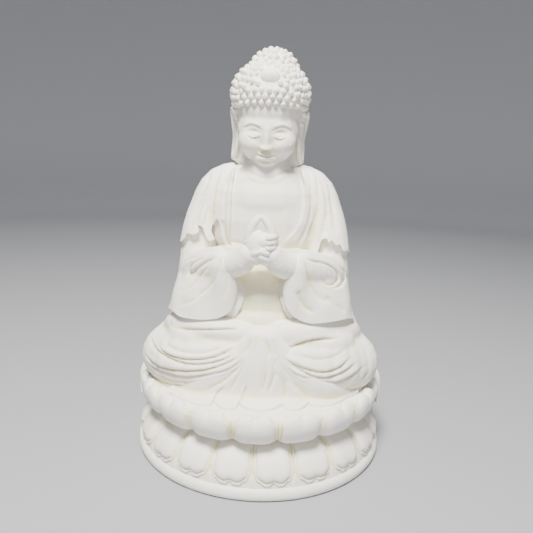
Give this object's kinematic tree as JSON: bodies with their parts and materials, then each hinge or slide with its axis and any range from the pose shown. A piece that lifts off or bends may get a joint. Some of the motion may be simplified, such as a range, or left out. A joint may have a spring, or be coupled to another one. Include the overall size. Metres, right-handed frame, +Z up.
{
  "type": "seated buddha statue",
  "caption": "White biscuit-porcelain seated figure on a round double-lotus throne, legs crossed and hands joined with raised index fingers.",
  "frame": {"origin": "centre of the plinth's resting face", "axes": "+Z up, the figure faces -Y, its own left hand is at +X"},
  "size_m": [0.1956, 0.1956, 0.3086],
  "materials": {
    "throne_biscuit": "unglazed biscuit porcelain, matte cream white",
    "robe_biscuit": "unglazed biscuit porcelain, matte cream white, carved folds",
    "skin_biscuit": "unglazed biscuit porcelain, matte, sponged smooth",
    "hair_biscuit": "unglazed biscuit porcelain, matte, applied curls"
  },
  "bodies": {
    "root": {"plinth": "throne_biscuit", "lower_lotus": "throne_biscuit", "lotus_waist": "throne_biscuit", "upper_lotus": "throne_biscuit", "seat_deck": "throne_biscuit", "robe_train": "robe_biscuit", "lap": "robe_biscuit", "skirt_fan": "robe_biscuit", "torso": "skin_biscuit", "inner_skirt": "robe_biscuit", "sash": "robe_biscuit", "robe_back": "robe_biscuit", "shoulder_drape_right": "robe_biscuit", "shoulder_drape_left": "robe_biscuit", "upper_arm_right": "robe_biscuit", "upper_arm_left": "robe_biscuit", "sleeve_right": "robe_biscuit", "sleeve_left": "robe_biscuit", "wrist_right": "skin_biscuit", "wrist_left": "skin_biscuit", "hand_right": "skin_biscuit", "hand_left": "skin_biscuit", "index_finger_right": "skin_biscuit", "index_finger_left": "skin_biscuit", "head": "skin_biscuit", "hair_cap": "hair_biscuit", "ushnisha": "hair_biscuit", "crown_jewel": "hair_biscuit", "ear_right": "skin_biscuit", "ear_left": "skin_biscuit"}
  },
  "joints": []
}
